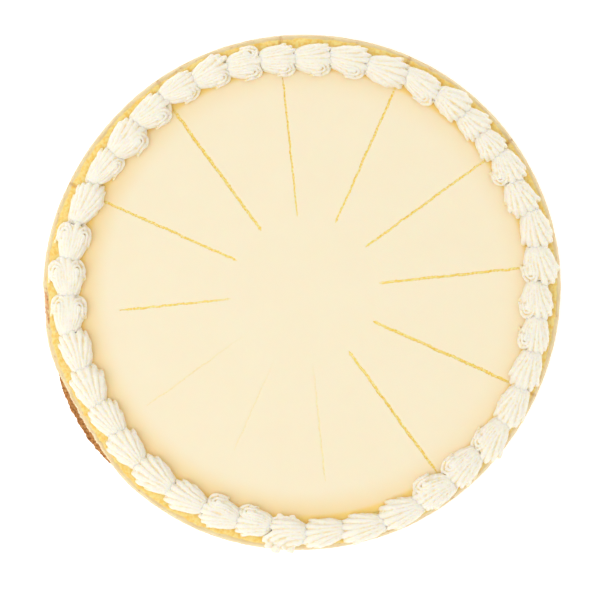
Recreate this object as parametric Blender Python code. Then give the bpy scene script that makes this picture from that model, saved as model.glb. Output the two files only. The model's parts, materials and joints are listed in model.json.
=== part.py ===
"""A whole round cheesecake, ready to slice.

A crumb base carries the baked filling, whose browned rim stands round a thin
cream topping. Twelve slice marks are scored in the topping, and a ring of
piped whipped-cream shells lies on the rim. Metres, +Z up, +X to the right of
a viewer above the cake, origin at the middle of the underside.
"""

import math
import random

import bmesh
import bpy
from mathutils import Matrix, Vector

# Driving sizes
CAKE_RADIUS = 0.1201
BASE_HEIGHT = 0.008
RIM_HEIGHT = 0.043
TOPPING_RADIUS = 0.1072
TOPPING_THICKNESS = 0.0014
GAP = 0.0003
ROUND_SIDES = 80

# Uneven edge: swing in metres and direction in degrees of each wave round the cake
EDGE_WAVES = (
    (0.00024, 176), (0.00074, 82), (0.00032, 95), (0.0001, -22), (0.00011, 152), (0.00018, -9),
)

# The crumb base shows past the filling on one side
PEEK_ANGLE = math.radians(210.5)
PEEK_HALF_ANGLE = math.radians(12)
PEEK_SET_IN = 0.0030
PEEK_STAND_OUT = 0.0020

# Slice marks, counted clockwise as seen from above
MARK_COUNT = 12
MARK_TURN = math.radians(6.0)
MARK_CENTRE = (0.0011, 0.0004)
MARK_INNER_RADIUS = 0.0348
MARK_OUTER_RADIUS = 0.1005
FAINT_OUTER_RADIUS = 0.088
FAINT_MARKS = (3, 4, 5)
MARK_WIDTH = 0.0012
FAINT_DEPTH = 0.0005

# Piped shells: the direction of each, in degrees clockwise from +X, as a hand laid them
SHELL_DIRECTIONS = (
    2.4, 10.8, 19.5, 28.8, 38.7, 47.7, 57.0, 66.0, 76.5, 85.5, 94.8,
    102, 111, 119.7, 129.3, 139.2, 146.7, 156.6, 165.9, 175.2, 184.2,
    192.6, 202.8, 213, 221.1, 230.4, 239.1, 247.8, 256.2, 264.3, 272.7,
    282, 291, 300.6, 309.3, 315.4, 321.9, 329.0, 336.9, 345.3, 354.0,
)
CLOSING_SHELL = 10
RING_RADIUS = 0.1092
SHELL_HALF_WIDTH = 0.0074
SHELL_HEIGHT = 0.0095
FRONT_SHARE = 0.42
RIDGE_COUNT = 9
RIDGE_DEPTH = 0.07

# Uneven ring: swing in metres and direction in degrees clockwise of each wave round the cake
RING_WAVES = ((0.0012, 26), (0.0006, -166), (0.0005, -115))

# Stations of a shell from its front foot to its tail: share of the way back from the
# front station's hinge to the tail end, tilt in degrees, width share, height share
STATIONS = (
    (0.00, 4, 1.00, 1.00),
    (0.02, 30, 1.03, 1.00),
    (0.10, 58, 1.02, 1.00),
    (0.26, 82, 0.97, 1.00),
    (0.50, 94, 0.82, 0.92),
    (0.76, 96, 0.62, 0.76),
    (1.00, 90, 0.47, 0.56),
)


def clear_scene():
    for obj in list(bpy.data.objects):
        bpy.data.objects.remove(obj, do_unlink=True)


def make_material(name, colour, roughness):
    material = bpy.data.materials.new(name)
    material.use_nodes = True
    shader = material.node_tree.nodes["Principled BSDF"]
    shader.inputs["Base Color"].default_value = (*colour, 1)
    shader.inputs["Roughness"].default_value = roughness
    shader.inputs["Metallic"].default_value = 0
    return material


def add_object(name, mesh_source, material, smooth_angle):
    """Turn a bmesh into a named object, rounded where faces meet at less than the angle."""
    bmesh.ops.recalc_face_normals(mesh_source, faces=mesh_source.faces)
    mesh = bpy.data.meshes.new(name)
    mesh_source.to_mesh(mesh)
    mesh_source.free()
    mesh.shade_smooth()
    mesh.set_sharp_from_angle(angle=smooth_angle)
    mesh.materials.append(material)
    obj = bpy.data.objects.new(name, mesh)
    bpy.context.scene.collection.objects.link(obj)
    return obj


def edge_swing(angle):
    """How far the cake's edge stands out of a true circle in one direction."""
    swing = 0
    for count, (size, turn) in enumerate(EDGE_WAVES, start=1):
        swing += size * math.cos(count * angle - math.radians(turn))
    return swing


def peek(angle):
    """1 in the middle of the stretch where the base shows, falling to 0 beside it."""
    off = math.remainder(angle - PEEK_ANGLE, math.tau) / PEEK_HALF_ANGLE
    return math.exp(-off ** 4)


def turned_body(name, profile, edge, material):
    """A closed turned body. Each profile point is a radius, a height and a share of the edge's swing."""
    body = bmesh.new()
    rings = []
    for radius, height, share in profile:
        ring = []
        for step in range(ROUND_SIDES):
            angle = math.tau * step / ROUND_SIDES
            reach = radius + share * edge(angle)
            ring.append(body.verts.new((reach * math.cos(angle), reach * math.sin(angle), height)))
        rings.append(ring)
    for lower, upper in zip(rings, rings[1:]):
        for step in range(ROUND_SIDES):
            after = (step + 1) % ROUND_SIDES
            body.faces.new((lower[step], lower[after], upper[after], upper[step]))
    body.faces.new(rings[0])
    body.faces.new(rings[-1])
    return add_object(name, body, material, math.radians(40))


def build_base(material):
    """Pressed crumb base, a low disc with a worn lower edge."""

    def edge(angle):
        return edge_swing(angle) + PEEK_STAND_OUT * peek(angle)

    radius = CAKE_RADIUS - 0.0014
    profile = (
        (radius - 0.0010, 0.0, 1),
        (radius, 0.0011, 1),
        (radius + 0.0002, BASE_HEIGHT * 0.6, 1),
        (radius - 0.0003, BASE_HEIGHT, 1),
    )
    return turned_body("crust", profile, edge, material)


def build_filling(material):
    """Baked filling: a slightly barrelled side, a round shoulder and a flat rim round a shallow recess."""

    def edge(angle):
        return edge_swing(angle) - PEEK_SET_IN * peek(angle)

    recess_radius = TOPPING_RADIUS + GAP
    recess_floor = RIM_HEIGHT - TOPPING_THICKNESS - GAP
    profile = (
        (CAKE_RADIUS - 0.0011, BASE_HEIGHT + GAP, 1),
        (CAKE_RADIUS - 0.0002, BASE_HEIGHT + 0.004, 1),
        (CAKE_RADIUS, RIM_HEIGHT * 0.55, 1),
        (CAKE_RADIUS - 0.0005, RIM_HEIGHT - 0.0045, 1),
        (CAKE_RADIUS - 0.0011, RIM_HEIGHT - 0.0018, 1),
        (CAKE_RADIUS - 0.0020, RIM_HEIGHT - 0.0005, 1),
        (CAKE_RADIUS - 0.0034, RIM_HEIGHT, 1),
        (recess_radius, RIM_HEIGHT, 0),
        (recess_radius, recess_floor, 0),
    )
    return turned_body("filling", profile, edge, material)


def build_topping(material):
    """Thin cream topping, level with the rim, with the slice marks scored into it."""
    floor = RIM_HEIGHT - TOPPING_THICKNESS
    profile = (
        (TOPPING_RADIUS, floor, 0),
        (TOPPING_RADIUS, RIM_HEIGHT - 0.0004, 0),
        (TOPPING_RADIUS - 0.0004, RIM_HEIGHT, 0),
    )
    topping = turned_body("topping", profile, edge_swing, material)
    cutter_source = bmesh.new()
    for mark in range(MARK_COUNT):
        faint = mark in FAINT_MARKS
        outer = FAINT_OUTER_RADIUS if faint else MARK_OUTER_RADIUS
        depth = FAINT_DEPTH if faint else TOPPING_THICKNESS * 1.5
        length = outer - MARK_INNER_RADIUS
        middle = MARK_INNER_RADIUS + length / 2
        place = (
            Matrix.Translation((*MARK_CENTRE, RIM_HEIGHT - depth / 2 + TOPPING_THICKNESS / 2))
            @ Matrix.Rotation(MARK_TURN - math.tau * mark / MARK_COUNT, 4, "Z")
            @ Matrix.Translation((middle, 0, 0))
            @ Matrix.Diagonal((length, MARK_WIDTH, depth + TOPPING_THICKNESS, 1))
        )
        bmesh.ops.create_cube(cutter_source, size=1, matrix=place)
    cutter = add_object("slice_marks", cutter_source, material, math.radians(30))
    cutter.hide_render = True
    cutter.display_type = "WIRE"
    cut = topping.modifiers.new("Slice marks", "BOOLEAN")
    cut.operation = "DIFFERENCE"
    cut.object = cutter
    return topping


def shell_source(front, tail, half_width, height, bend):
    """One piped shell, lying along X with its plump head at +X and its tail at -X.

    The ridged arch lies almost flat on the ground at the front, tips up over
    the head and then runs back upright and narrowing, so that the ridges fan
    out from the tail to the foot of the head.
    """
    columns = 2 * RIDGE_COUNT + 1
    hinge = front * 0.02
    rows = []
    shell = bmesh.new()
    for back, tilt, width_share, height_share in STATIONS:
        lying = (front - hinge) / (1 + RIDGE_DEPTH) * math.cos(math.radians(tilt))
        upright = height * height_share * math.sin(math.radians(tilt))
        pivot = hinge + (-tail - hinge) * back
        side = bend * (pivot / tail) ** 2
        row = []
        for column in range(columns):
            turn = math.pi * column / (columns - 1)
            ridge = 1 + RIDGE_DEPTH * (1 if column % 2 else -1)
            along = pivot + lying * ridge * math.sin(turn)
            across = side + half_width * width_share * ridge * math.cos(turn)
            on_ground = not rows or column in (0, columns - 1)
            up = 0 if on_ground else upright * ridge * math.sin(turn)
            row.append(shell.verts.new((along, across, up)))
        rows.append(row)
    for near, far in zip(rows, rows[1:]):
        for column in range(columns - 1):
            shell.faces.new((near[column], near[column + 1], far[column + 1], far[column]))
    shell.faces.new(rows[-1])
    left_foot = [row[-1] for row in rows[1:]]
    right_foot = [row[0] for row in rows[1:]]
    shell.faces.new(rows[0] + left_foot + right_foot[::-1])
    return shell


def ring_radius(direction):
    """The ring of shells wanders in and out, as a hand laid it."""
    radius = RING_RADIUS
    for count, (size, turn) in enumerate(RING_WAVES, start=1):
        radius += size * math.cos(count * direction - math.radians(turn))
    return radius


def fuse_knobs(shell, knobs):
    """Join rounded blobs of cream to a shell, as one closed body."""
    group = bpy.data.collections.new("Knobs")
    bpy.context.scene.collection.children.link(group)
    for place, radius in knobs:
        blob = bmesh.new()
        bmesh.ops.create_icosphere(blob, subdivisions=1, radius=radius, matrix=place)
        knob = add_object("knob", blob, shell.data.materials[0], math.radians(60))
        bpy.context.scene.collection.objects.unlink(knob)
        group.objects.link(knob)
    join = shell.modifiers.new("Knobs", "BOOLEAN")
    join.operation = "UNION"
    join.operand_type = "COLLECTION"
    join.collection = group
    joined = bpy.data.meshes.new_from_object(
        shell.evaluated_get(bpy.context.evaluated_depsgraph_get())
    )
    shell.modifiers.clear()
    shell.data = joined
    for knob in list(group.objects):
        bpy.data.objects.remove(knob, do_unlink=True)
    bpy.data.collections.remove(group)


def build_shells(material):
    """The ring of piped shells. Each head covers the tail of the one after it, with a hair's gap."""
    rng = random.Random(12)
    count = len(SHELL_DIRECTIONS)
    directions = [math.radians(degrees) for degrees in SHELL_DIRECTIONS]
    places = []
    for direction in directions:
        radius = ring_radius(direction)
        places.append(Vector((radius * math.cos(direction), -radius * math.sin(direction), 0)))
    spacings = [(places[(index + 1) % count] - places[index]).length for index in range(count)]
    floor = RIM_HEIGHT + GAP
    for index, direction in enumerate(directions):
        ahead = spacings[index]
        behind = spacings[index - 1]
        front = FRONT_SHARE * ahead
        tail = (1 - FRONT_SHARE) * behind - GAP
        plump = min(1.0, 0.45 + 0.55 * (ahead + behind) / (2 * math.tau * RING_RADIUS / count))
        half_width = SHELL_HALF_WIDTH * plump * rng.uniform(0.95, 1.05)
        height = SHELL_HEIGHT * plump * rng.uniform(0.92, 1.04)
        bend = rng.uniform(-0.0006, 0.0006)
        source = shell_source(front, tail, half_width, height, bend)
        heading = -direction - math.pi / 2
        place = places[index] + Vector((0, 0, floor))
        bmesh.ops.transform(
            source,
            matrix=Matrix.Translation(place) @ Matrix.Rotation(heading, 4, "Z"),
            verts=source.verts,
        )
        shell = add_object(f"shell_{index + 1:02d}", source, material, math.radians(70))
        if index == CLOSING_SHELL:
            outward = places[index].normalized()
            sideways = Vector((-outward.y, outward.x, 0))
            knobs = []
            for shift, reach, lift, radius in (
                (0.0021, 0.0076, 0.0034, 0.0028),
                (-0.0028, 0.0081, 0.0032, 0.0028),
                (-0.0031, 0.0092, 0.0030, 0.0024),
            ):
                spot = place + sideways * shift + outward * reach + Vector((0, 0, lift))
                knobs.append((Matrix.Translation(spot), radius))
            fuse_knobs(shell, knobs)


clear_scene()
crumb = make_material("Crumb base", (0.50, 0.24, 0.10), 0.85)
baked = make_material("Baked filling", (0.93, 0.70, 0.25), 0.55)
cream = make_material("Cream topping", (0.97, 0.86, 0.62), 0.45)
whipped = make_material("Whipped cream", (0.95, 0.91, 0.82), 0.5)
build_base(crumb)
build_filling(baked)
build_topping(cream)
build_shells(whipped)
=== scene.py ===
"""The looks of a round cheesecake: crumb base, baked filling, scored topping and piped cream shells."""

import json
import math
import random

import bpy
import numpy as np
from mathutils import Matrix, Vector, noise

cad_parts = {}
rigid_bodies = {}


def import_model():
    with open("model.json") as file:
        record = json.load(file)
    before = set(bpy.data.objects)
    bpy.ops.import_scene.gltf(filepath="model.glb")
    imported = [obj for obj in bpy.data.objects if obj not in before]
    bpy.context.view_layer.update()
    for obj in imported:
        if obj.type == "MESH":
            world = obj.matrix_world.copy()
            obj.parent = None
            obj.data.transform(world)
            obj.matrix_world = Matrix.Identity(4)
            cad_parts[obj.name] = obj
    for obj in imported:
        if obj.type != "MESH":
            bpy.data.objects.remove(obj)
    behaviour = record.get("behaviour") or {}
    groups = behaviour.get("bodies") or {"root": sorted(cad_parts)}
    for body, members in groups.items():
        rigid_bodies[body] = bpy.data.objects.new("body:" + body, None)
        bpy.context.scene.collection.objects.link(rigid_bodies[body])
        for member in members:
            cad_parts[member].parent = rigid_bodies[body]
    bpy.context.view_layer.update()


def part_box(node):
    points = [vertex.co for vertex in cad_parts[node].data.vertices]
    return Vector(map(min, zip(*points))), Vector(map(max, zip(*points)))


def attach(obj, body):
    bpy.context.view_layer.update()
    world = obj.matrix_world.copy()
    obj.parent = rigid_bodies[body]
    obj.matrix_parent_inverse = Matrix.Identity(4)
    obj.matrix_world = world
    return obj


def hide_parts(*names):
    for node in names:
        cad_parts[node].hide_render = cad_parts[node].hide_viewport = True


for startup in list(bpy.data.objects):
    bpy.data.objects.remove(startup)
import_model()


# Crumb base
# A thin layer of golden-brown biscuit crumbs and butter, pressed into the tin
# before the filling goes in. It shows past the filling on one side.

CAKE_RADIUS = 0.1201
# The cake isn't a true circle: how far it swings out once, twice and more times a round, and where
EDGE_WAVES = (
    (0.00024, 176), (0.00074, 82), (0.00032, 95), (0.0001, -22), (0.00011, 152), (0.00018, -9),
)
# Where the base shows: direction and half width in degrees, and how strongly
PEEKS = ((210.5, 12, 1.0), (183.4, 3.8, 0.40))
PEEK_SET_IN = 0.0018
PEEK_STAND_OUT = 0.0022
RAGGEDNESS = 60
CRUMB_SET_IN = 0.0013
CRUMB_SIDES = 1200
CRUMB_STEP = 0.0005
CRUMB_SIZE = 0.0011
CRUMB_CLUMP = 0.0035
CRUMB_RELIEF = 0.0007
CRUMB_COLOURS = ((0.47, 0.16, 0.035), (0.79, 0.31, 0.075), (0.93, 0.51, 0.17))


def edge_swing(angle):
    """How far the cake's edge stands out of a true circle in one direction."""
    swing = 0
    for count, (size, turn) in enumerate(EDGE_WAVES, start=1):
        swing += size * math.cos(count * angle - math.radians(turn))
    return swing


def random_along(angle):
    """An uneven value from 0 to 1 that wanders round the cake."""
    place = (math.cos(angle) * RAGGEDNESS, math.sin(angle) * RAGGEDNESS, 0)
    return 0.5 + noise.fractal(place, 0.6, 2.2, 4) * 0.8


def peek(angle):
    """How strongly the base shows in one direction, from 0 to about 1, with a ragged limit."""
    most = 0
    for turn, half_width, share in PEEKS:
        off = math.remainder(angle - math.radians(turn), math.tau) / math.radians(half_width)
        most = max(most, share * math.exp(-off ** 4))
    return most * (0.8 + 0.4 * random_along(angle))


def clear_selection():
    bpy.ops.object.select_all(action="DESELECT")


def turn_up(name, sides, profile):
    """A round body raised ring by ring from its foot: each profile point is a radius and a height."""
    clear_selection()
    radius, height = profile[0]
    bpy.ops.mesh.primitive_circle_add(
        vertices=sides, radius=radius, fill_type="NGON", location=(0, 0, height)
    )
    body = bpy.context.object
    body.name = name
    bpy.ops.object.transform_apply(location=True, rotation=True, scale=True)
    bpy.ops.object.mode_set(mode="EDIT")
    bpy.ops.mesh.select_all(action="SELECT")
    for wider, higher in profile[1:]:
        bpy.ops.mesh.extrude_region_move(TRANSFORM_OT_translate={"value": (0, 0, higher - height)})
        grow = wider / radius
        bpy.ops.transform.resize(value=(grow, grow, 1), center_override=(0, 0, higher))
        radius, height = wider, higher
    bpy.ops.mesh.select_all(action="SELECT")
    bpy.ops.mesh.normals_make_consistent(inside=False)
    bpy.ops.object.mode_set(mode="OBJECT")
    return body


def push_out(body, reach):
    """Move each point of a round body outward by what reach says for its angle and its radius."""
    for point in body.data.vertices:
        radius = math.hypot(point.co.x, point.co.y)
        if radius > 0:
            angle = math.atan2(point.co.y, point.co.x)
            grow = 1 + reach(angle, radius) / radius
            point.co.x *= grow
            point.co.y *= grow


def roughen(body, texture_kind, size, strength, level, group=""):
    """Relief from a procedural texture, applied to the mesh."""
    texture = bpy.data.textures.new(body.name + " relief", texture_kind)
    texture.noise_scale = size
    relief = body.modifiers.new("relief", "DISPLACE")
    relief.texture = texture
    relief.texture_coords = "GLOBAL"
    relief.strength = strength
    relief.mid_level = level
    relief.vertex_group = group
    bpy.context.view_layer.objects.active = body
    bpy.ops.object.modifier_apply(modifier=relief.name)


def wear_group(body, name, wanted):
    """A vertex group of the points that are wanted."""
    group = body.vertex_groups.new(name=name)
    group.add([point.index for point in body.data.vertices if wanted(point.co)], 1, "REPLACE")
    return name


def new_material(name, roughness):
    material = bpy.data.materials.new(name)
    material.use_nodes = True
    shader = material.node_tree.nodes["Principled BSDF"]
    shader.inputs["Roughness"].default_value = roughness
    return material, material.node_tree, shader


def node(tree, kind, **values):
    """A node with its sockets or settings set by name."""
    made = tree.nodes.new(kind)
    for key, value in values.items():
        if hasattr(made, key):
            setattr(made, key, value)
        else:
            made.inputs[key.replace("_", " ")].default_value = value
    return made


def colour_steps(tree, source, steps):
    """A ramp over a value, as pairs of place and colour."""
    ramp = tree.nodes.new("ShaderNodeValToRGB")
    while len(ramp.color_ramp.elements) < len(steps):
        ramp.color_ramp.elements.new(1)
    for element, (place, colour) in zip(ramp.color_ramp.elements, steps):
        element.position = place
        element.color = (*colour, 1)
    tree.links.new(source, ramp.inputs["Fac"])
    return ramp.outputs["Color"]


def blend_colours(tree, share, first, second):
    """A mix of two colours, each a socket or a plain colour, by a share that is a socket."""
    mix = tree.nodes.new("ShaderNodeMix")
    mix.data_type = "RGBA"
    tree.links.new(share, mix.inputs["Factor"])
    for socket, value in ((mix.inputs["A"], first), (mix.inputs["B"], second)):
        if isinstance(value, tuple):
            socket.default_value = (*value, 1)
        else:
            tree.links.new(value, socket)
    return mix.outputs["Result"]


def build_grain():
    """Two noises over the surface: a soft mottle and small pits. Sizes are in grains to the metre."""
    grain = bpy.data.node_groups.new("Food grain", "ShaderNodeTree")
    for socket in ("Mottle", "Pits"):
        grain.interface.new_socket(socket, in_out="INPUT", socket_type="NodeSocketFloat")
    for socket in ("Mottle", "Pits", "Relief"):
        grain.interface.new_socket(socket, in_out="OUTPUT", socket_type="NodeSocketFloat")
    entry = grain.nodes.new("NodeGroupInput")
    leave = grain.nodes.new("NodeGroupOutput")
    place = grain.nodes.new("ShaderNodeTexCoord")
    soft = node(grain, "ShaderNodeTexNoise", Detail=4.0, Roughness=0.55)
    cells = node(grain, "ShaderNodeTexVoronoi", Randomness=1.0)
    grain.links.new(place.outputs["Object"], soft.inputs["Vector"])
    grain.links.new(place.outputs["Object"], cells.inputs["Vector"])
    grain.links.new(entry.outputs["Mottle"], soft.inputs["Scale"])
    grain.links.new(entry.outputs["Pits"], cells.inputs["Scale"])
    near = node(grain, "ShaderNodeMapRange", interpolation_type="SMOOTHSTEP")
    near.inputs["From Min"].default_value = 0.06
    near.inputs["From Max"].default_value = 0.22
    near.inputs["To Min"].default_value = 1
    near.inputs["To Max"].default_value = 0
    grain.links.new(cells.outputs["Distance"], near.inputs["Value"])
    relief = node(grain, "ShaderNodeMath", operation="SUBTRACT")
    grain.links.new(soft.outputs["Fac"], relief.inputs[0])
    grain.links.new(near.outputs["Result"], relief.inputs[1])
    grain.links.new(soft.outputs["Fac"], leave.inputs["Mottle"])
    grain.links.new(near.outputs["Result"], leave.inputs["Pits"])
    grain.links.new(relief.outputs["Value"], leave.inputs["Relief"])
    return grain


food_grain = build_grain()


def add_grain(tree, mottle, pits):
    grain = tree.nodes.new("ShaderNodeGroup")
    grain.node_tree = food_grain
    grain.inputs["Mottle"].default_value = mottle
    grain.inputs["Pits"].default_value = pits
    return grain


def add_bump(tree, shader, height, depth, strength):
    """Fine relief in the surface, of a real depth in metres."""
    bump = tree.nodes.new("ShaderNodeBump")
    bump.inputs["Distance"].default_value = depth
    bump.inputs["Strength"].default_value = strength
    tree.links.new(height, bump.inputs["Height"])
    tree.links.new(bump.outputs["Normal"], shader.inputs["Normal"])


base_low, base_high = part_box("crust")
crumb_radius = CAKE_RADIUS - CRUMB_SET_IN
crumb_profile = [(crumb_radius - 0.0012, base_low.z), (crumb_radius - 0.0004, base_low.z + 0.0005)]
crumb_rows = int((base_high.z - base_low.z) / CRUMB_STEP)
for crumb_row in range(2, crumb_rows):
    crumb_profile.append((crumb_radius, base_low.z + crumb_row * CRUMB_STEP))
crumb_profile.append((crumb_radius - 0.0003, base_high.z))
crumb_base = turn_up("crumb_base", CRUMB_SIDES, crumb_profile)
push_out(crumb_base, lambda angle, radius: edge_swing(angle) + PEEK_STAND_OUT * peek(angle))
side_points = wear_group(
    crumb_base, "side", lambda co: base_low.z + 0.0002 < co.z < base_high.z - 0.0001
)
roughen(crumb_base, "VORONOI", CRUMB_SIZE, CRUMB_RELIEF, 1.0, side_points)
roughen(crumb_base, "CLOUDS", CRUMB_CLUMP, CRUMB_RELIEF, 1.0, side_points)

crumb, crumb_tree, crumb_shader = new_material("Pressed biscuit crumb", 0.85)
crumb_grain = add_grain(crumb_tree, 900, 1400)
crumb_colour = colour_steps(
    crumb_tree,
    crumb_grain.outputs["Mottle"],
    ((0.34, CRUMB_COLOURS[0]), (0.50, CRUMB_COLOURS[1]), (0.68, CRUMB_COLOURS[2])),
)
crumb_tree.links.new(crumb_colour, crumb_shader.inputs["Base Color"])
add_bump(crumb_tree, crumb_shader, crumb_grain.outputs["Relief"], 0.0004, 0.8)
crumb_base.data.materials.append(crumb)
crumb_base.data.shade_smooth()
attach(crumb_base, "root")
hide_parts("crust")


# Baked filling
# Sweet cream cheese baked on the crumb base. Its top browns to a golden rim,
# while the side that lay against the tin stays pale, with fine level streaks.

FILLING_SIDES = 1500
TOPPING_RADIUS = 0.1074
TOPPING_THICKNESS = 0.0014
RIM_FLAT_RADIUS = CAKE_RADIUS - 0.0034
# Where the knife has nicked the rim, in degrees clockwise from the right
NICKS = (24, 54, 205, 235.5, 265, 294.6, 324)
NICK_DEPTH = 0.0010
NICK_WIDTH = 0.0006
# Painted shade: along each nick the gold is painted crumb-brown, for the shade in its groove
NICK_SHADE = 0.45
# One pale blister in the gold: its direction clockwise from the right, place, size and height
BLISTER = (170.9, 0.1150, 0.0013, 0.0005)
BLISTER_PALENESS = 0.004
# How far in from the edge the gold begins, over what width, and how much that limit wanders
BROWNED_FROM = 0.0022
BROWNED_OVER = 0.0007
BROWNED_WANDER = 0.0016
GOLD = (0.93, 0.75, 0.27)
DEEP_GOLD = (0.91, 0.61, 0.12)
PALE_SIDE = (0.81, 0.65, 0.34)
SIDE_STREAK = (0.73, 0.54, 0.25)
# Crumb clings to the foot of the side in clumps, so many to the metre, and in one smear
# at its upper edge: direction and half width in degrees, from and to how far below the rim
CLINGING_HEIGHT = 0.0030
CLINGING_CLUMPS = 700
SMEAR = (183.4, 4.0, 0.0004, 0.006)
# Colours of the clinging crumb, also used for the painted shade in the nicks
CRUMB_AND_SHADE_COLOURS = ((0.40, (0.46, 0.17, 0.04)), (0.56, (0.70, 0.33, 0.10)))

filling_low, filling_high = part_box("filling")
rim = filling_high.z
recess_radius = TOPPING_RADIUS + 0.0001
shoulder = (
    (0.0011, filling_low.z), (0.0009, filling_low.z + 0.0006), (0.0007, filling_low.z + 0.0013),
    (0.0005, filling_low.z + 0.0021), (0.0003, filling_low.z + 0.003), (0.0002, filling_low.z + 0.004),
    (0.0001, filling_low.z + 0.008), (0.0, rim * 0.45), (0.0, rim * 0.55), (0.0001, rim * 0.65),
    (0.0003, rim - 0.0085), (0.0005, rim - 0.0045), (0.0007, rim - 0.0032), (0.0009, rim - 0.0024),
    (0.0011, rim - 0.0018), (0.0014, rim - 0.0012), (0.0017, rim - 0.0008), (0.0020, rim - 0.0005),
    (0.0025, rim - 0.0002), (0.0030, rim - 0.00005), (0.0036, rim), (0.0044, rim), (0.0052, rim),
    (0.0062, rim), (0.0075, rim), (0.0095, rim),
)
filling_profile = [(CAKE_RADIUS - set_in, height) for set_in, height in shoulder]
filling_profile.append((recess_radius, rim))
filling_profile.append((recess_radius, rim - TOPPING_THICKNESS - 0.0003))
filling = turn_up("baked_filling", FILLING_SIDES, filling_profile)


def filling_reach(angle, radius):
    """The recess stays round, and the swing of the edge grows over the rim."""
    share = min(1, max(0, (radius - recess_radius) / (RIM_FLAT_RADIUS - recess_radius)))
    return share * (edge_swing(angle) - PEEK_SET_IN * peek(angle))


def clinging_crumb(place, angle):
    """How much crumb clings to a place on the side, from 0 to 1."""
    clump = noise.noise(place * CLINGING_CLUMPS)
    near_base = 0.3 + clump - (place.z - filling_low.z) / CLINGING_HEIGHT
    turn, half_width, smear_top, smear_foot = SMEAR
    smeared = 0
    if smear_top < rim - place.z < smear_foot:
        off = math.remainder(angle - math.radians(turn), math.tau) / math.radians(half_width)
        smeared = 0.9 * math.exp(-off ** 4) + clump - 0.4
    return min(1, max(0, 2 * near_base, 2 * smeared))


push_out(filling, filling_reach)
set_in = filling.data.attributes.new("set_in", "FLOAT", "POINT")
crumb_and_nick_shade = filling.data.attributes.new("crumb_and_nick_shade", "FLOAT", "POINT")
blister_turn, blister_reach, blister_size, blister_height = BLISTER
for point in filling.data.vertices:
    angle = math.atan2(point.co.y, point.co.x)
    radius = math.hypot(point.co.x, point.co.y)
    edge_depth = set_in.data[point.index]
    edge_depth.value = CAKE_RADIUS + filling_reach(angle, CAKE_RADIUS) - radius
    crumb_and_shade_share = crumb_and_nick_shade.data[point.index]
    if radius > RIM_FLAT_RADIUS - 0.004:
        crumb_and_shade_share.value = clinging_crumb(point.co, angle)
    if point.co.z > rim - 0.003 and radius > recess_radius + 0.001:
        for nick in NICKS:
            aside = math.remainder(angle + math.radians(nick), math.tau) * radius / NICK_WIDTH
            if abs(aside) < 3:
                point.co.z -= NICK_DEPTH * math.exp(-aside * aside)
                # Painted shade in the nick's groove, in crumb colour
                crumb_and_shade_share.value = max(crumb_and_shade_share.value, NICK_SHADE * math.exp(-aside * aside))
        aside = math.remainder(angle + math.radians(blister_turn), math.tau) * radius
        risen = math.exp(-(aside ** 2 + (radius - blister_reach) ** 2) / blister_size ** 2)
        point.co.z += blister_height * risen
        edge_depth.value -= BLISTER_PALENESS * risen
outside = wear_group(
    filling, "outside", lambda co: math.hypot(co.x, co.y) > 0.1135 and co.z > filling_low.z + 0.001
)
roughen(filling, "CLOUDS", 0.006, 0.0005, 1.0, outside)
roughen(filling, "CLOUDS", 0.0014, 0.0003, 1.0, outside)

baked, baked_tree, baked_shader = new_material("Baked cream cheese", 0.5)
baked_shader.inputs["Subsurface Weight"].default_value = 0.2
baked_shader.inputs["Subsurface Scale"].default_value = 0.003
baked_grain = add_grain(baked_tree, 520, 700)
baked_place = baked_tree.nodes.new("ShaderNodeTexCoord")
streak_map = node(baked_tree, "ShaderNodeMapping")
streak_map.inputs["Scale"].default_value = (130, 130, 650)
baked_tree.links.new(baked_place.outputs["Object"], streak_map.inputs["Vector"])
streaks = node(baked_tree, "ShaderNodeTexNoise", Scale=1.0, Detail=3.0)
baked_tree.links.new(streak_map.outputs["Vector"], streaks.inputs["Vector"])
side_colour = colour_steps(baked_tree, streaks.outputs["Fac"], ((0.35, SIDE_STREAK), (0.6, PALE_SIDE)))
gold_colour = colour_steps(baked_tree, baked_grain.outputs["Mottle"], ((0.38, DEEP_GOLD), (0.57, GOLD)))
patches = node(baked_tree, "ShaderNodeTexNoise", Scale=190.0, Detail=5.0, Roughness=0.6)
baked_tree.links.new(baked_place.outputs["Object"], patches.inputs["Vector"])
from_edge = baked_tree.nodes.new("ShaderNodeAttribute")
from_edge.attribute_name = "set_in"
wander = node(baked_tree, "ShaderNodeMath", operation="MULTIPLY_ADD")
wander.inputs[1].default_value = BROWNED_WANDER * 2
baked_tree.links.new(patches.outputs["Fac"], wander.inputs[0])
baked_tree.links.new(from_edge.outputs["Fac"], wander.inputs[2])
browned = node(baked_tree, "ShaderNodeMapRange", interpolation_type="SMOOTHSTEP")
browned.inputs["From Min"].default_value = BROWNED_FROM + BROWNED_WANDER
browned.inputs["From Max"].default_value = BROWNED_FROM + BROWNED_WANDER + BROWNED_OVER
baked_tree.links.new(wander.outputs["Value"], browned.inputs["Value"])
baked_colour = blend_colours(baked_tree, browned.outputs["Result"], side_colour, gold_colour)
# The crumb on the side, and the painted shade in the nicks, take the crumb colours
crumb_and_shade_value = baked_tree.nodes.new("ShaderNodeAttribute")
crumb_and_shade_value.attribute_name = "crumb_and_nick_shade"
crumb_and_shade_ramp = colour_steps(baked_tree, baked_grain.outputs["Mottle"], CRUMB_AND_SHADE_COLOURS)
crumb_and_shade_colour = blend_colours(baked_tree, crumb_and_shade_value.outputs["Fac"], baked_colour, crumb_and_shade_ramp)
baked_tree.links.new(crumb_and_shade_colour, baked_shader.inputs["Base Color"])
add_bump(baked_tree, baked_shader, baked_grain.outputs["Relief"], 0.0003, 0.5)
filling.data.materials.append(baked)
filling.data.shade_smooth()
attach(filling, "root")
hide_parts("filling")


# Cream topping
# A thin pale layer spread level with the rim. A knife has scored twelve marks
# in it, through to the golden filling where it pressed hard.

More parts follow.
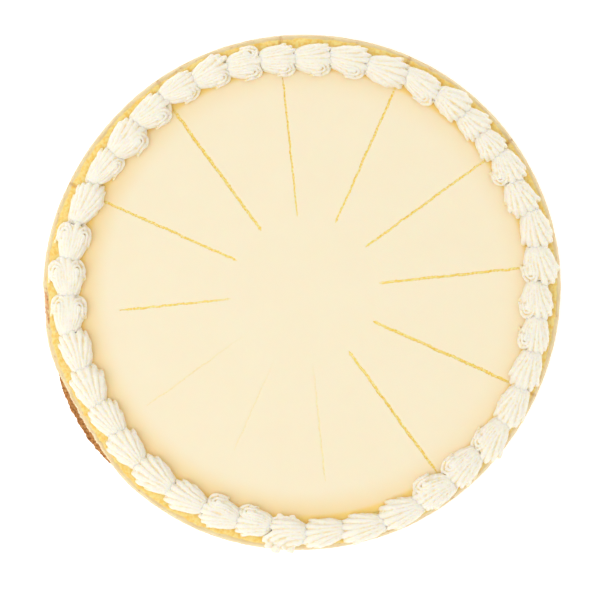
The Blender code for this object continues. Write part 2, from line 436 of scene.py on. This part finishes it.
MARK_COUNT = 12
MARK_TURN = math.radians(6.0)
MARK_CENTRE = Vector((0.0011, 0.0004, 0))
MARK_INNER_RADIUS = 0.0348
MARK_STEP = 0.0007
# How far out each mark runs, and its width and depth as shares of the usual, clockwise from the right
MARKS = (
    (0.1045, 1.30, 0.8), (0.1055, 1.50, 1.0), (0.1045, 1.40, 1.0), (0.0880, 0.90, 0.18),
    (0.0800, 0.80, 0.13), (0.0900, 0.80, 0.15), (0.0860, 1.10, 0.50), (0.1045, 1.30, 0.8),
    (0.1045, 1.50, 1.0), (0.0990, 1.00, 0.7), (0.1045, 1.15, 0.8), (0.1045, 1.15, 0.8),
)
MARK_WIDTH = 0.0006
MARK_DEPTH = 0.0006
MARK_TAPER = 0.75
# How far below the top a mark begins to look golden, and where it is golden all over
MARK_GOLD_FROM = 0.00003
MARK_GOLD_TO = 0.00022
CREAM = (0.985, 0.835, 0.605)
CREAM_SHADE = (0.975, 0.81, 0.57)
# Painted shade and bounce light: towards the shells the cream is painted a darker gold, for their
# shadow and the golden light bounced into it, most on one side
RING_CENTRE = (0.00108, -0.00053, 0)
SHELL_SHADOW_FROM = 0.0900
SHELL_SHADOW_TO = 0.1050
SHELL_SHADOW_SIDE = (-0.87, -0.50, 0)
SHELL_SHADOW_LEAST = 0.25
SHELL_SHADOW_MOST = 0.85
SHELL_SHADOW = (0.93, 0.66, 0.27)
# Painted shade: a deeper gold at the shells' inner edge, for the contact shadow in the notches under
# them
SHELL_CONTACT_SHADE_FROM = 0.1018
SHELL_CONTACT_SHADE_TO = 0.1045
SHELL_CONTACT_SHADE = (0.96, 0.67, 0.19)
MARK_GOLD = ((0.36, (0.93, 0.59, 0.06)), (0.48, (0.97, 0.73, 0.17)), (0.62, (0.98, 0.82, 0.40)))

topping_floor = rim - TOPPING_THICKNESS
topping = turn_up(
    "cream_topping", 720,
    ((TOPPING_RADIUS, topping_floor), (TOPPING_RADIUS, rim - 0.0001), (TOPPING_RADIUS - 0.0001, rim)),
)


def score(index, reach, width, press):
    """One knife mark as a cutter: a blunt wedge drawn outward in short steps with a ragged edge."""
    rng = random.Random(index)
    depth = MARK_DEPTH * press
    clear_selection()
    bpy.ops.mesh.primitive_cube_add(size=1, location=(MARK_INNER_RADIUS, 0, rim))
    cutter = bpy.context.object
    cutter.scale = (MARK_WIDTH, width * MARK_WIDTH, 2 * depth)
    bpy.ops.object.transform_apply(location=True, rotation=True, scale=True)
    for point in cutter.data.vertices:
        if point.co.z < rim:
            point.co.y *= MARK_TAPER
    bpy.ops.object.mode_set(mode="EDIT")
    bpy.ops.mesh.select_mode(type="FACE")
    bpy.ops.mesh.select_all(action="DESELECT")
    bpy.ops.object.mode_set(mode="OBJECT")
    for face in cutter.data.polygons:
        face.select = face.normal.x > 0.9
    bpy.ops.object.mode_set(mode="EDIT")
    along = MARK_INNER_RADIUS
    drift = 0
    wide = 0.6
    steps = 0
    while along < reach:
        step = MARK_STEP * rng.uniform(0.7, 1.3)
        along += step
        steps += 1
        target = max(0.45, min(1, (reach - along) / 0.004)) * rng.uniform(0.7, 1.0)
        if steps == 1 or steps % 2 == 0:
            target *= 1.5
        sway = rng.uniform(-0.00018, 0.00018) - drift * 0.4
        drift += sway
        bpy.ops.mesh.extrude_region_move(TRANSFORM_OT_translate={"value": (step, sway, 0)})
        bpy.ops.transform.resize(
            value=(1, target / wide, 1), center_override=(along, drift, rim)
        )
        wide = target
    bpy.ops.mesh.select_all(action="SELECT")
    bpy.ops.mesh.normals_make_consistent(inside=False)
    bpy.ops.object.mode_set(mode="OBJECT")
    for point in cutter.data.vertices:
        if point.co.z < rim:
            pressed = min(1, 0.4 + 1.5 * (point.co.x - MARK_INNER_RADIUS) / (reach - MARK_INNER_RADIUS))
            point.co.z = rim - pressed * depth
    turn = Matrix.Rotation(MARK_TURN - math.tau * index / MARK_COUNT, 4, "Z")
    cutter.data.transform(Matrix.Translation(MARK_CENTRE) @ turn)
    return cutter


knife_marks = bpy.data.collections.new("Knife marks")
bpy.context.scene.collection.children.link(knife_marks)
for mark_index, (mark_reach, mark_width, mark_press) in enumerate(MARKS):
    mark_cutter = score(mark_index, mark_reach, mark_width, mark_press)
    knife_marks.objects.link(mark_cutter)
    bpy.context.scene.collection.objects.unlink(mark_cutter)
scored = topping.modifiers.new("Knife marks", "BOOLEAN")
scored.operation = "DIFFERENCE"
scored.operand_type = "COLLECTION"
scored.collection = knife_marks
bpy.context.view_layer.objects.active = topping
bpy.ops.object.modifier_apply(modifier=scored.name)
for mark_cutter in list(knife_marks.objects):
    bpy.data.objects.remove(mark_cutter)
bpy.data.collections.remove(knife_marks)

spread, spread_tree, spread_shader = new_material("Cream topping", 0.42)
spread_shader.inputs["Subsurface Weight"].default_value = 0.25
spread_shader.inputs["Subsurface Scale"].default_value = 0.003
spread_grain = add_grain(spread_tree, 60, 260)
mark_grain = add_grain(spread_tree, 1100, 900)
spread_place = spread_tree.nodes.new("ShaderNodeTexCoord")
spread_axes = spread_tree.nodes.new("ShaderNodeSeparateXYZ")
spread_tree.links.new(spread_place.outputs["Object"], spread_axes.inputs["Vector"])
in_mark = node(spread_tree, "ShaderNodeMapRange")
in_mark.inputs["From Min"].default_value = rim - MARK_GOLD_FROM
in_mark.inputs["From Max"].default_value = rim - MARK_GOLD_TO
spread_tree.links.new(spread_axes.outputs["Z"], in_mark.inputs["Value"])
from_centre = node(spread_tree, "ShaderNodeVectorMath", operation="SUBTRACT")
from_centre.inputs[1].default_value = RING_CENTRE
spread_tree.links.new(spread_place.outputs["Object"], from_centre.inputs[0])
flatten = node(spread_tree, "ShaderNodeVectorMath", operation="MULTIPLY")
flatten.inputs[1].default_value = (1, 1, 0)
spread_tree.links.new(from_centre.outputs["Vector"], flatten.inputs[0])
from_middle = node(spread_tree, "ShaderNodeVectorMath", operation="LENGTH")
spread_tree.links.new(flatten.outputs["Vector"], from_middle.inputs[0])
# Painted shade: darker gold towards the shells, stronger on one side
shadow_near_shells = node(spread_tree, "ShaderNodeMapRange", interpolation_type="SMOOTHSTEP")
shadow_near_shells.inputs["From Min"].default_value = SHELL_SHADOW_FROM
shadow_near_shells.inputs["From Max"].default_value = SHELL_SHADOW_TO
spread_tree.links.new(from_middle.outputs["Value"], shadow_near_shells.inputs["Value"])
toward_shadow_side = node(spread_tree, "ShaderNodeVectorMath", operation="DOT_PRODUCT")
toward_shadow_side.inputs[1].default_value = SHELL_SHADOW_SIDE
spread_tree.links.new(flatten.outputs["Vector"], toward_shadow_side.inputs[0])
shadow_side_share = node(spread_tree, "ShaderNodeMapRange", interpolation_type="SMOOTHSTEP")
shadow_side_share.inputs["From Min"].default_value = -0.03
shadow_side_share.inputs["From Max"].default_value = 0.08
shadow_side_share.inputs["To Min"].default_value = SHELL_SHADOW_LEAST
shadow_side_share.inputs["To Max"].default_value = SHELL_SHADOW_MOST
spread_tree.links.new(toward_shadow_side.outputs["Value"], shadow_side_share.inputs["Value"])
shell_shadow_share = node(spread_tree, "ShaderNodeMath", operation="MULTIPLY")
spread_tree.links.new(shadow_near_shells.outputs["Result"], shell_shadow_share.inputs[0])
spread_tree.links.new(shadow_side_share.outputs["Result"], shell_shadow_share.inputs[1])
cream_colour = blend_colours(spread_tree, spread_grain.outputs["Mottle"], CREAM_SHADE, CREAM)
shell_shadowed_colour = blend_colours(spread_tree, shell_shadow_share.outputs["Value"], cream_colour, SHELL_SHADOW)
# Painted contact shadow at the shells' inner edge
shell_contact_shade = node(spread_tree, "ShaderNodeMapRange", interpolation_type="SMOOTHSTEP")
shell_contact_shade.inputs["From Min"].default_value = SHELL_CONTACT_SHADE_FROM
shell_contact_shade.inputs["From Max"].default_value = SHELL_CONTACT_SHADE_TO
spread_tree.links.new(from_middle.outputs["Value"], shell_contact_shade.inputs["Value"])
contact_shaded_colour = blend_colours(spread_tree, shell_contact_shade.outputs["Result"], shell_shadowed_colour, SHELL_CONTACT_SHADE)
mark_colour = colour_steps(spread_tree, mark_grain.outputs["Mottle"], MARK_GOLD)
spread_colour = blend_colours(spread_tree, in_mark.outputs["Result"], contact_shaded_colour, mark_colour)
spread_tree.links.new(spread_colour, spread_shader.inputs["Base Color"])
add_bump(spread_tree, spread_shader, spread_grain.outputs["Mottle"], 0.0002, 0.3)
topping.data.materials.clear()
topping.data.materials.append(spread)
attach(topping, "root")
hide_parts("topping")


# Piped shells
# Whipped cream from a bag with a star nozzle. Each shell is a bundle of ridges that leaves
# the tail, fans out over the body, and ends in tips or winds into a volute beside the head.

MM = 0.001
SHELL_COUNT = 41
# How each shell came out of the bag, clockwise from the right: its kind, how many
# millimetres wider it is than usual, and how many millimetres further out it lies
PIPED = (
    ("curled", 0.1, -1.2), ("curled", -0.9, 0.2), ("fan", -0.3, 0.8), ("fan", 0, 1.6),
    ("curled", 0, 1.5), ("curled", 0, -0.7), ("curled", 1.6, -0.4), ("fan", -0.8, 0.7),
    ("fan", -0.8, 1.0), ("fan", -0.9, 0.6), ("closing", 0, 0), ("curled", 0.2, -1.1),
    ("curled", 0.2, 0.2), ("fan", -0.3, 0.7), ("fan", 0.7, 0.5), ("fan", 0.1, -0.2),
    ("fan", 0, -1.0), ("fan", 1.0, -0.7), ("fan", 0.4, -0.2), ("twin", 0.5, 0.9),
    ("twin", 1.2, 1.4), ("twin", 0, 1.2), ("fan", -0.5, 1.0), ("curled", -1.8, 0.8),
    ("curled", 1.4, -0.3), ("curled", -0.2, 0.3), ("curled", -0.5, 1.3), ("curled", -0.5, 1.0),
    ("twin", -0.4, -0.2), ("curled", 0, -0.8), ("curled", -0.5, -0.9), ("curled", 0.4, 0.4),
    ("fan", 0, 0), ("curled", -1.4, 1.3), ("fan", 0.9, 1.4), ("fan", 1.4, 0.5), ("fan", 0.6, -0.2),
    ("curled", 1.4, 0.2), ("fan", 0.8, -0.9), ("fan", 0.5, 1.1), ("curled", 1.4, 0.5),
)
# One shell in millimetres: its head is ahead, its inner side is at the right hand
TAIL = -9.4
HEAD = 8.9
OUTER_WIDEST = 3.0
INNER_WIDEST = 2.4
FAN_FROM = -2.5
OUTER_REACH = 7.0
INNER_REACH = 7.3
CREST_HEIGHT = 7.9
CREST_FROM = 0.8
STRAND_STEP = 0.45
# Each ridge of the fan: its thickness as a share of the gap, and how its tip thins in steps
RIDGE_THICKNESS = 0.54
TIP_STEP = 0.75
TIP_SLIMS = (0.90, 0.74, 0.44)
# The volute beside the head: where its eye lies, and how its three turns are spaced and shaped
EYE_ALONG = 3.2
EYE_ACROSS = 4.6
RING_STEP = 1.26
RING_SHARES = (-0.62, -0.42, -0.22)
RING_STRETCH = 1.3
# Ridges of the closing shell as start, corner, end and size of the drop, and its loose drops
CLOSING_RIDGES = (
    ((-8.2, 2.2), (-3.6, 3.0), (-1.0, 8.7), 2.2), ((-8.4, 0.9), (3.0, 1.4), (4.6, 9.6), 2.0),
    ((-7.4, 3.0), (-1.0, 4.4), (2.0, 7.2), 1.9), ((-8.6, -0.4), (7.0, 0.0), (7.8, 7.8), 1.7),
    ((-8.6, -1.6), (9.4, -1.2), (9.0, 5.4), 1.6), ((-8.4, -2.8), (3.0, -3.2), (9.4, -1.8), 1.3),
    ((-8.0, -3.6), (1.0, -5.2), (8.8, -3.8), 1.3), ((-7.4, -3.4), (1.4, -8.8), (7.4, -4.6), 1.3),
)
CLOSING_DROPS = (
    (-5.6, 4.6, 1.5), (-1.5, -7.7, 1.3), (4.2, -7.9, 1.3), (-5.4, -4.8, 1.2), (8.0, -5.4, 1.1),
    (-9.4, 0.3, 0.9),
)
CLOSING_SET_IN = 0.6
CURL_SIZE = 0.68
CREAM_VOXEL = 0.27
VALLEY_DEPTH = 0.22
# In metres and degrees: how the shells lie in the ring, and how lumpy and grainy the cream is,
# with a coarser grain on the right-hand side, within so many degrees of it
RING_RADIUS = 0.110
STRETCH = 1.12
SWERVE = 9
LUMP_SIZE = 0.004
LUMP_RELIEF = 0.0008
GRAIN_SIZE = 0.0016
FINE_RELIEF = 0.0003
COARSE_RELIEF = 0.0006
COARSE_TO = 60
WHITE_CREAM = (0.94, 0.882, 0.76)
# Painted shade: the cream between the ridges is painted a warmer, darker yellow
VALLEY_SHADE = (0.94, 0.77, 0.43)
# Painted bounce light and shade: near its foot the cream is painted gold, for the light the golden
# filling throws onto it
FOOT_BOUNCE_GOLD = (0.97, 0.74, 0.30)
FOOT_BOUNCE_TO = 3.6


def edge_at(along, across):
    """How far a shell reaches to one side, at a place along it. It is widest near the head."""
    widest, reach = (OUTER_WIDEST, OUTER_REACH) if across > 0 else (INNER_WIDEST, INNER_REACH)
    if along < widest:
        share = (widest - along) / (widest - TAIL)
        return reach * max(0, 1 - share ** 1.7) ** 0.62
    share = (along - widest) / (HEAD - widest)
    return reach * max(0, 1 - share ** 1.6) ** 0.7


def crest_at(along, across, square=2.5):
    """The height of the ridges at a place on the shell, with steeper sides for a larger square."""
    share = (along - CREST_FROM) / (CREST_FROM - TAIL if along < CREST_FROM else HEAD - CREST_FROM)
    ridge = CREST_HEIGHT * max(0, 1 - abs(share) ** 2.8) ** 0.42
    side = min(1, abs(across) / max(edge_at(along, across), 0.5))
    return ridge * max(0, 1 - side ** square) ** 0.5


def fan_at(along, across):
    """How far the outermost ridge of the fan is from the middle."""
    if along < FAN_FROM:
        return edge_at(along, across) * 0.93
    return edge_at(FAN_FROM, across) * 0.93 + 0.60 * (along - FAN_FROM)


def blend_in(value, low, high):
    share = min(1, max(0, (value - low) / (high - low)))
    return share * share * (3 - 2 * share)


def fan_ridge(share, thickness, reach, sway):
    """A ridge from the tail over the body to its tip, as places with a radius."""
    ridge = []
    along = TAIL + 0.5
    while along < HEAD - 0.9:
        fan = fan_at(along, share)
        across = share * fan + sway * math.sin((along - TAIL) * 0.45)
        if along > FAN_FROM and abs(across) > edge_at(along, across) * reach:
            break
        ridge.append((along, across, max(1.3, crest_at(along, across)), thickness * fan))
        along += STRAND_STEP
    before, last = ridge[-2:]
    step = Vector((last[0] - before[0], last[1] - before[1])).normalized() * TIP_STEP
    for count, slim in enumerate(TIP_SLIMS, start=1):
        drop = TIP_STEP * count * (1 + count / 4)
        place = (last[0] + step.x * count, last[1] + step.y * count, max(0.9, last[2] - drop))
        ridge.append((*place, last[3] * slim))
    return ridge


def curl_ridge(ring, eye_along, eye_across, tip):
    """A ridge from the tail beside the fan, round the eye of the volute and back to a tip."""
    out = 0.35 + RING_STEP * ring
    lift = 0.95 - 0.30 * ring

    def height(along, across):
        return max(1.2, crest_at(min(along, HEAD - 2.3), across * 0.90, 4.0) + lift)

    ridge = []
    along = TAIL + 0.8
    while along < eye_along:
        turned = blend_in(along, FAN_FROM - 3.0, eye_along - 1.0)
        across = (1 - turned) * RING_SHARES[ring] * fan_at(along, -1) + turned * (eye_across + out)
        crest = (1 - turned) * crest_at(along, across) + turned * height(along, across)
        ridge.append((along, across, crest, CURL_SIZE * (0.72 + 0.28 * turned)))
        along += STRAND_STEP
    for count in range(13):
        turn = math.pi / 2 - math.pi * count / 12
        along = eye_along + math.cos(turn) * out * RING_STRETCH
        across = eye_across + math.sin(turn) * out
        ridge.append((along, across, height(along, across), CURL_SIZE))
    for count in range(1, tip + 1):
        along = eye_along - 0.6 * count
        across = eye_across - out - 0.012 * count * count
        crest = max(1.0, height(along, across) - 0.05 * count * count)
        ridge.append((along, across, crest, CURL_SIZE * (1 if count < tip else 0.6)))
    return ridge


def curl_filling(eye_along, eye_across):
    """The cream under the volute, and the ridge that shows below it."""
    under = [(eye_along + step, eye_across, 4.6, 2.8) for step in (-2.0, -0.7, 0.6)]
    low = []
    for count in range(17):
        turn = math.pi * 0.25 - math.pi * 1.1 * count / 16
        low.append((
            eye_along + math.cos(turn) * 3.0 * RING_STRETCH, eye_across + math.sin(turn) * 2.9,
            2.2, 0.95,
        ))
    return under, low


def body_filling():
    """The cream under the ridges, as a few thick runs and a low foot."""
    runs = []
    for share, size in ((-0.6, 2.6), (-0.25, 3.3), (0.25, 3.3), (0.6, 2.6)):
        run = []
        for count in range(12):
            along = TAIL + 2.2 + count * (HEAD - TAIL - 4.6) / 11
            across = share * edge_at(along, share)
            reach = size * min(1, 0.5 + 0.13 * count, 0.55 + 0.15 * (11 - count))
            run.append((along, across, max(0.5, crest_at(along, across) - reach + 0.25), reach))
        runs.append(run)
    foot = []
    for count in range(25):
        turn = math.tau * count / 24
        along = math.cos(turn) * 8.2
        side = max(-1, min(1, math.sin(turn) * 3))
        foot.append((along, side * edge_at(along, side) * 0.80, 1.6, 1.6))
    return runs + [foot]


def closing_ridges():
    """The last shell of the ring: its ridges turn outward ahead and end in round drops."""
    ridges = []
    for start, corner, end, drop in CLOSING_RIDGES:
        ridge = []
        for count in range(31):
            share = count / 30
            along, across = (
                (1 - share) ** 2 * first + 2 * share * (1 - share) * turn + share ** 2 * last
                for first, turn, last in zip(start, corner, end)
            )
            crest = max(3.4, crest_at(min(along, HEAD - 1.5), min(across, 6.0), 3.2))
            ridge.append((along, across, crest, 1.15 + (drop - 1.15) * blend_in(share, 0.70, 0.92)))
        ridge.append((*ridge[-1][:3], ridge[-1][3] * 0.6))
        ridges.append(ridge)
    for along, across, size in CLOSING_DROPS:
        ridges.append([
            (along * 0.55, across * 0.6, 4.4, size * 1.5),
            (along * 0.85, across * 0.85, 3.4, size * 1.3),
            (along, across, 2.6, size),
        ])
    return ridges


def mark_valley_shade(shell):
    """How deep each point lies between the ridges, from 0 to 1: there the cream is painted a warmer,
    darker yellow as painted shade.
    """
    mesh = shell.data
    count = len(mesh.vertices)
    place = np.empty(count * 3)
    mesh.vertices.foreach_get("co", place)
    place = place.reshape(-1, 3)
    normal = np.empty(count * 3)
    mesh.vertices.foreach_get("normal", normal)
    normal = normal.reshape(-1, 3)
    ends = np.empty(len(mesh.edges) * 2, np.int32)
    mesh.edges.foreach_get("vertices", ends)
    ends = ends.reshape(-1, 2)
    near, far = np.concatenate((ends, ends[:, ::-1])).T
    neighbours = np.bincount(near, minlength=count)
    smooth = place.copy()
    for _ in range(14):
        for axis in range(3):
            mean = np.bincount(near, smooth[far, axis], count) / neighbours
            smooth[:, axis] += 0.7 * (mean - smooth[:, axis])
    depth = ((smooth - place) * normal).sum(1)
    valley_shade = mesh.attributes.new("valley_shade", "FLOAT", "POINT")
    valley_shade.data.foreach_set("value", np.clip(depth / (VALLEY_DEPTH * MM), 0, 1).astype(np.float32))


def pipe_shell(name, rng, kind, ridge_count):
    """One shell in its own place: the ridges as round strands, fused into one skin."""
    inner_curl = kind in ("curled", "twin")
    outer_curl = kind == "twin"
    strands = body_filling()
    if kind == "closing":
        strands += closing_ridges()
    else:
        gap = 2 / (ridge_count - 1)
        for count in range(ridge_count):
            share = gap * count - 1
            if inner_curl and -0.80 < share < -0.20 or outer_curl and 0.20 < share < 0.80:
                continue
            share += rng.uniform(-0.03, 0.03)
            reach = rng.uniform(0.84, 1.00)
            strands.append(fan_ridge(share, RIDGE_THICKNESS * gap, reach, rng.uniform(-0.3, 0.3)))
    for side, wanted in ((1, inner_curl), (-1, outer_curl)):
        if wanted:
            eye_along = EYE_ALONG + rng.uniform(-0.5, 0.4)
            eye_across = -EYE_ACROSS + rng.uniform(-0.25, 0.25)
            curl = []
            for ring in range(3):
                tip = 2 + 2 * ring + rng.randint(0, 2)
                curl.append(curl_ridge(ring, eye_along, eye_across, tip))
            curl.extend(curl_filling(eye_along, eye_across))
            for ridge in curl:
                strands.append([(along, across * side, up, size) for along, across, up, size in ridge])
    bag = bpy.data.curves.new(name, "CURVE")
    bag.dimensions = "3D"
    bag.bevel_depth = MM
    bag.bevel_resolution = 2
    bag.use_fill_caps = True
    for ridge in strands:
        line = bag.splines.new("POLY")
        line.points.add(len(ridge) - 1)
        for point, (along, across, up, size) in zip(line.points, ridge):
            point.co = (along * MM, across * MM, up * MM, 1)
            point.radius = size
    shell = bpy.data.objects.new(name, bag)
    bpy.context.scene.collection.objects.link(shell)
    clear_selection()
    shell.select_set(True)
    bpy.context.view_layer.objects.active = shell
    bpy.ops.object.convert(target="MESH")
    shell = bpy.context.object
    fuse = shell.modifiers.new("fuse", "REMESH")
    fuse.mode = "VOXEL"
    fuse.voxel_size = CREAM_VOXEL * MM
    bpy.ops.object.modifier_apply(modifier=fuse.name)
    soften = shell.modifiers.new("soften", "SMOOTH")
    soften.factor = 0.5
    soften.iterations = 2
    bpy.ops.object.modifier_apply(modifier=soften.name)
    return shell


whipped, whipped_tree, whipped_shader = new_material("Whipped cream", 0.5)
whipped_shader.inputs["Subsurface Weight"].default_value = 0.5
whipped_shader.inputs["Subsurface Scale"].default_value = 0.0020
whipped_shader.inputs["Subsurface Radius"].default_value = (1.0, 0.8, 0.4)
whipped_grain = add_grain(whipped_tree, 500, 1500)
# Painted shade between the ridges
valley_shade_value = whipped_tree.nodes.new("ShaderNodeAttribute")
valley_shade_value.attribute_name = "valley_shade"
ridge_colour = blend_colours(whipped_tree, valley_shade_value.outputs["Fac"], WHITE_CREAM, VALLEY_SHADE)
whipped_place = whipped_tree.nodes.new("ShaderNodeTexCoord")
whipped_axes = whipped_tree.nodes.new("ShaderNodeSeparateXYZ")
whipped_tree.links.new(whipped_place.outputs["Object"], whipped_axes.inputs["Vector"])
# Painted golden bounce light near the foot of each shell
foot_bounce_share = node(whipped_tree, "ShaderNodeMapRange", interpolation_type="SMOOTHSTEP")
foot_bounce_share.inputs["From Min"].default_value = rim + FOOT_BOUNCE_TO * MM
foot_bounce_share.inputs["From Max"].default_value = rim
whipped_tree.links.new(whipped_axes.outputs["Z"], foot_bounce_share.inputs["Value"])
whipped_colour = blend_colours(whipped_tree, foot_bounce_share.outputs["Result"], ridge_colour, FOOT_BOUNCE_GOLD)
whipped_tree.links.new(whipped_colour, whipped_shader.inputs["Base Color"])
add_bump(whipped_tree, whipped_shader, whipped_grain.outputs["Mottle"], 0.0003, 0.4)

shell_names = [f"shell_{count:02d}" for count in range(1, SHELL_COUNT + 1)]
shell_centres = []
for shell_name in shell_names:
    shell_low, shell_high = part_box(shell_name)
    shell_centres.append(((shell_low + shell_high) / 2).to_2d())
shell_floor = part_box(shell_names[0])[0].z
even_spacing = math.tau * RING_RADIUS / SHELL_COUNT
for shell_number, centre in enumerate(shell_centres):
    shell_rng = random.Random(100 + shell_number)
    ahead = (shell_centres[(shell_number + 1) % SHELL_COUNT] - centre).length
    behind = (shell_centres[shell_number - 1] - centre).length
    length = (ahead + behind) / (2 * even_spacing)
    azimuth = -math.degrees(math.atan2(centre.y, centre.x)) % 360
    kind, wider, further_out = PIPED[shell_number]
    if kind == "closing":
        further_out -= CLOSING_SET_IN
    centre = centre + centre.normalized() * further_out * MM
    ridge_count = shell_rng.choice((8, 8, 9) if kind == "fan" else (9, 10, 10))
    shell = pipe_shell(f"piped_{shell_names[shell_number]}", shell_rng, kind, ridge_count)
    width = min(1, 0.45 + 0.55 * length) * shell_rng.uniform(0.96, 1.04)
    width *= 1 + wider / (OUTER_REACH + INNER_REACH)
    scale = Matrix.Diagonal((length * STRETCH, width, width * shell_rng.uniform(0.92, 1), 1))
    swerve = math.radians(shell_rng.uniform(-SWERVE, SWERVE))
    heading = math.atan2(centre.y, centre.x) - math.pi / 2 + swerve
    shell.data.transform(
        Matrix.Translation((*centre, shell_floor)) @ Matrix.Rotation(heading, 4, "Z") @ scale
    )
    roughen(shell, "CLOUDS", LUMP_SIZE, LUMP_RELIEF, 0.5)
    on_coarse_side = azimuth > 360 - COARSE_TO or azimuth < COARSE_TO
    roughen(shell, "CLOUDS", GRAIN_SIZE, COARSE_RELIEF if on_coarse_side else FINE_RELIEF, 0.5)
    clear_selection()
    shell.select_set(True)
    bpy.context.view_layer.objects.active = shell
    bpy.ops.object.mode_set(mode="EDIT")
    bpy.ops.mesh.select_all(action="SELECT")
    bpy.ops.mesh.bisect(
        plane_co=(0, 0, shell_floor), plane_no=(0, 0, 1),
        use_fill=True, clear_inner=True, clear_outer=False,
    )
    bpy.ops.object.mode_set(mode="OBJECT")
    mark_valley_shade(shell)
    shell.data.materials.append(whipped)
    shell.data.shade_smooth()
    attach(shell, "root")
    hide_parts(shell_names[shell_number])


# Light, floor and camera
# A plain white floor under soft light, seen from straight above.

PHOTO_SIDE = 600
METRES_PER_PIXEL = 0.0004642
PHOTO_CENTRE = (302.7, 291.8)
CAMERA_HEIGHT = 6.0
# The height above the floor at which the picture has its stated scale
WIDEST_LEVEL = 0.02
SKY_LIGHT = 0.745
FLOOR_GLOW = 0.5
KEY_POWER = 8.5
FILL_POWER = 2.3

clear_selection()
bpy.ops.mesh.primitive_plane_add(size=6, location=(0, 0, 0))
floor = bpy.context.object
floor.name = "floor"
floor_paint, floor_tree, floor_shader = new_material("Floor", 0.9)
floor_shader.inputs["Base Color"].default_value = (0.95, 0.95, 0.95, 1)
floor_shader.inputs["Emission Color"].default_value = (1, 1, 1, 1)
floor_shader.inputs["Emission Strength"].default_value = FLOOR_GLOW
floor.data.materials.append(floor_paint)

world = bpy.data.worlds.new("Studio")
world.use_nodes = True
world.node_tree.nodes["Background"].inputs["Color"].default_value = (1, 1, 1, 1)
world.node_tree.nodes["Background"].inputs["Strength"].default_value = SKY_LIGHT
bpy.context.scene.world = world
bpy.context.scene.view_settings.view_transform = "Standard"


def add_soft_light(name, place, size, power):
    lamp = bpy.data.lights.new(name, "AREA")
    lamp.size = size
    lamp.energy = power
    light = bpy.data.objects.new(name, lamp)
    light.location = place
    light.rotation_euler = Vector(place).to_track_quat("Z", "Y").to_euler()
    bpy.context.scene.collection.objects.link(light)


add_soft_light("Key", (-0.7, -0.4, 1.5), 1.2, KEY_POWER)
add_soft_light("Fill", (0.6, 0.7, 1.6), 1.4, FILL_POWER)

eye = bpy.data.cameras.new("Camera")
eye.sensor_width = 36
eye.lens = eye.sensor_width * (CAMERA_HEIGHT - WIDEST_LEVEL) / (PHOTO_SIDE * METRES_PER_PIXEL)
camera = bpy.data.objects.new("Camera", eye)
off_right = (PHOTO_SIDE / 2 - PHOTO_CENTRE[0]) * METRES_PER_PIXEL
off_up = (PHOTO_CENTRE[1] - PHOTO_SIDE / 2) * METRES_PER_PIXEL
camera.location = (off_right, off_up, CAMERA_HEIGHT)
bpy.context.scene.collection.objects.link(camera)
bpy.context.scene.camera = camera
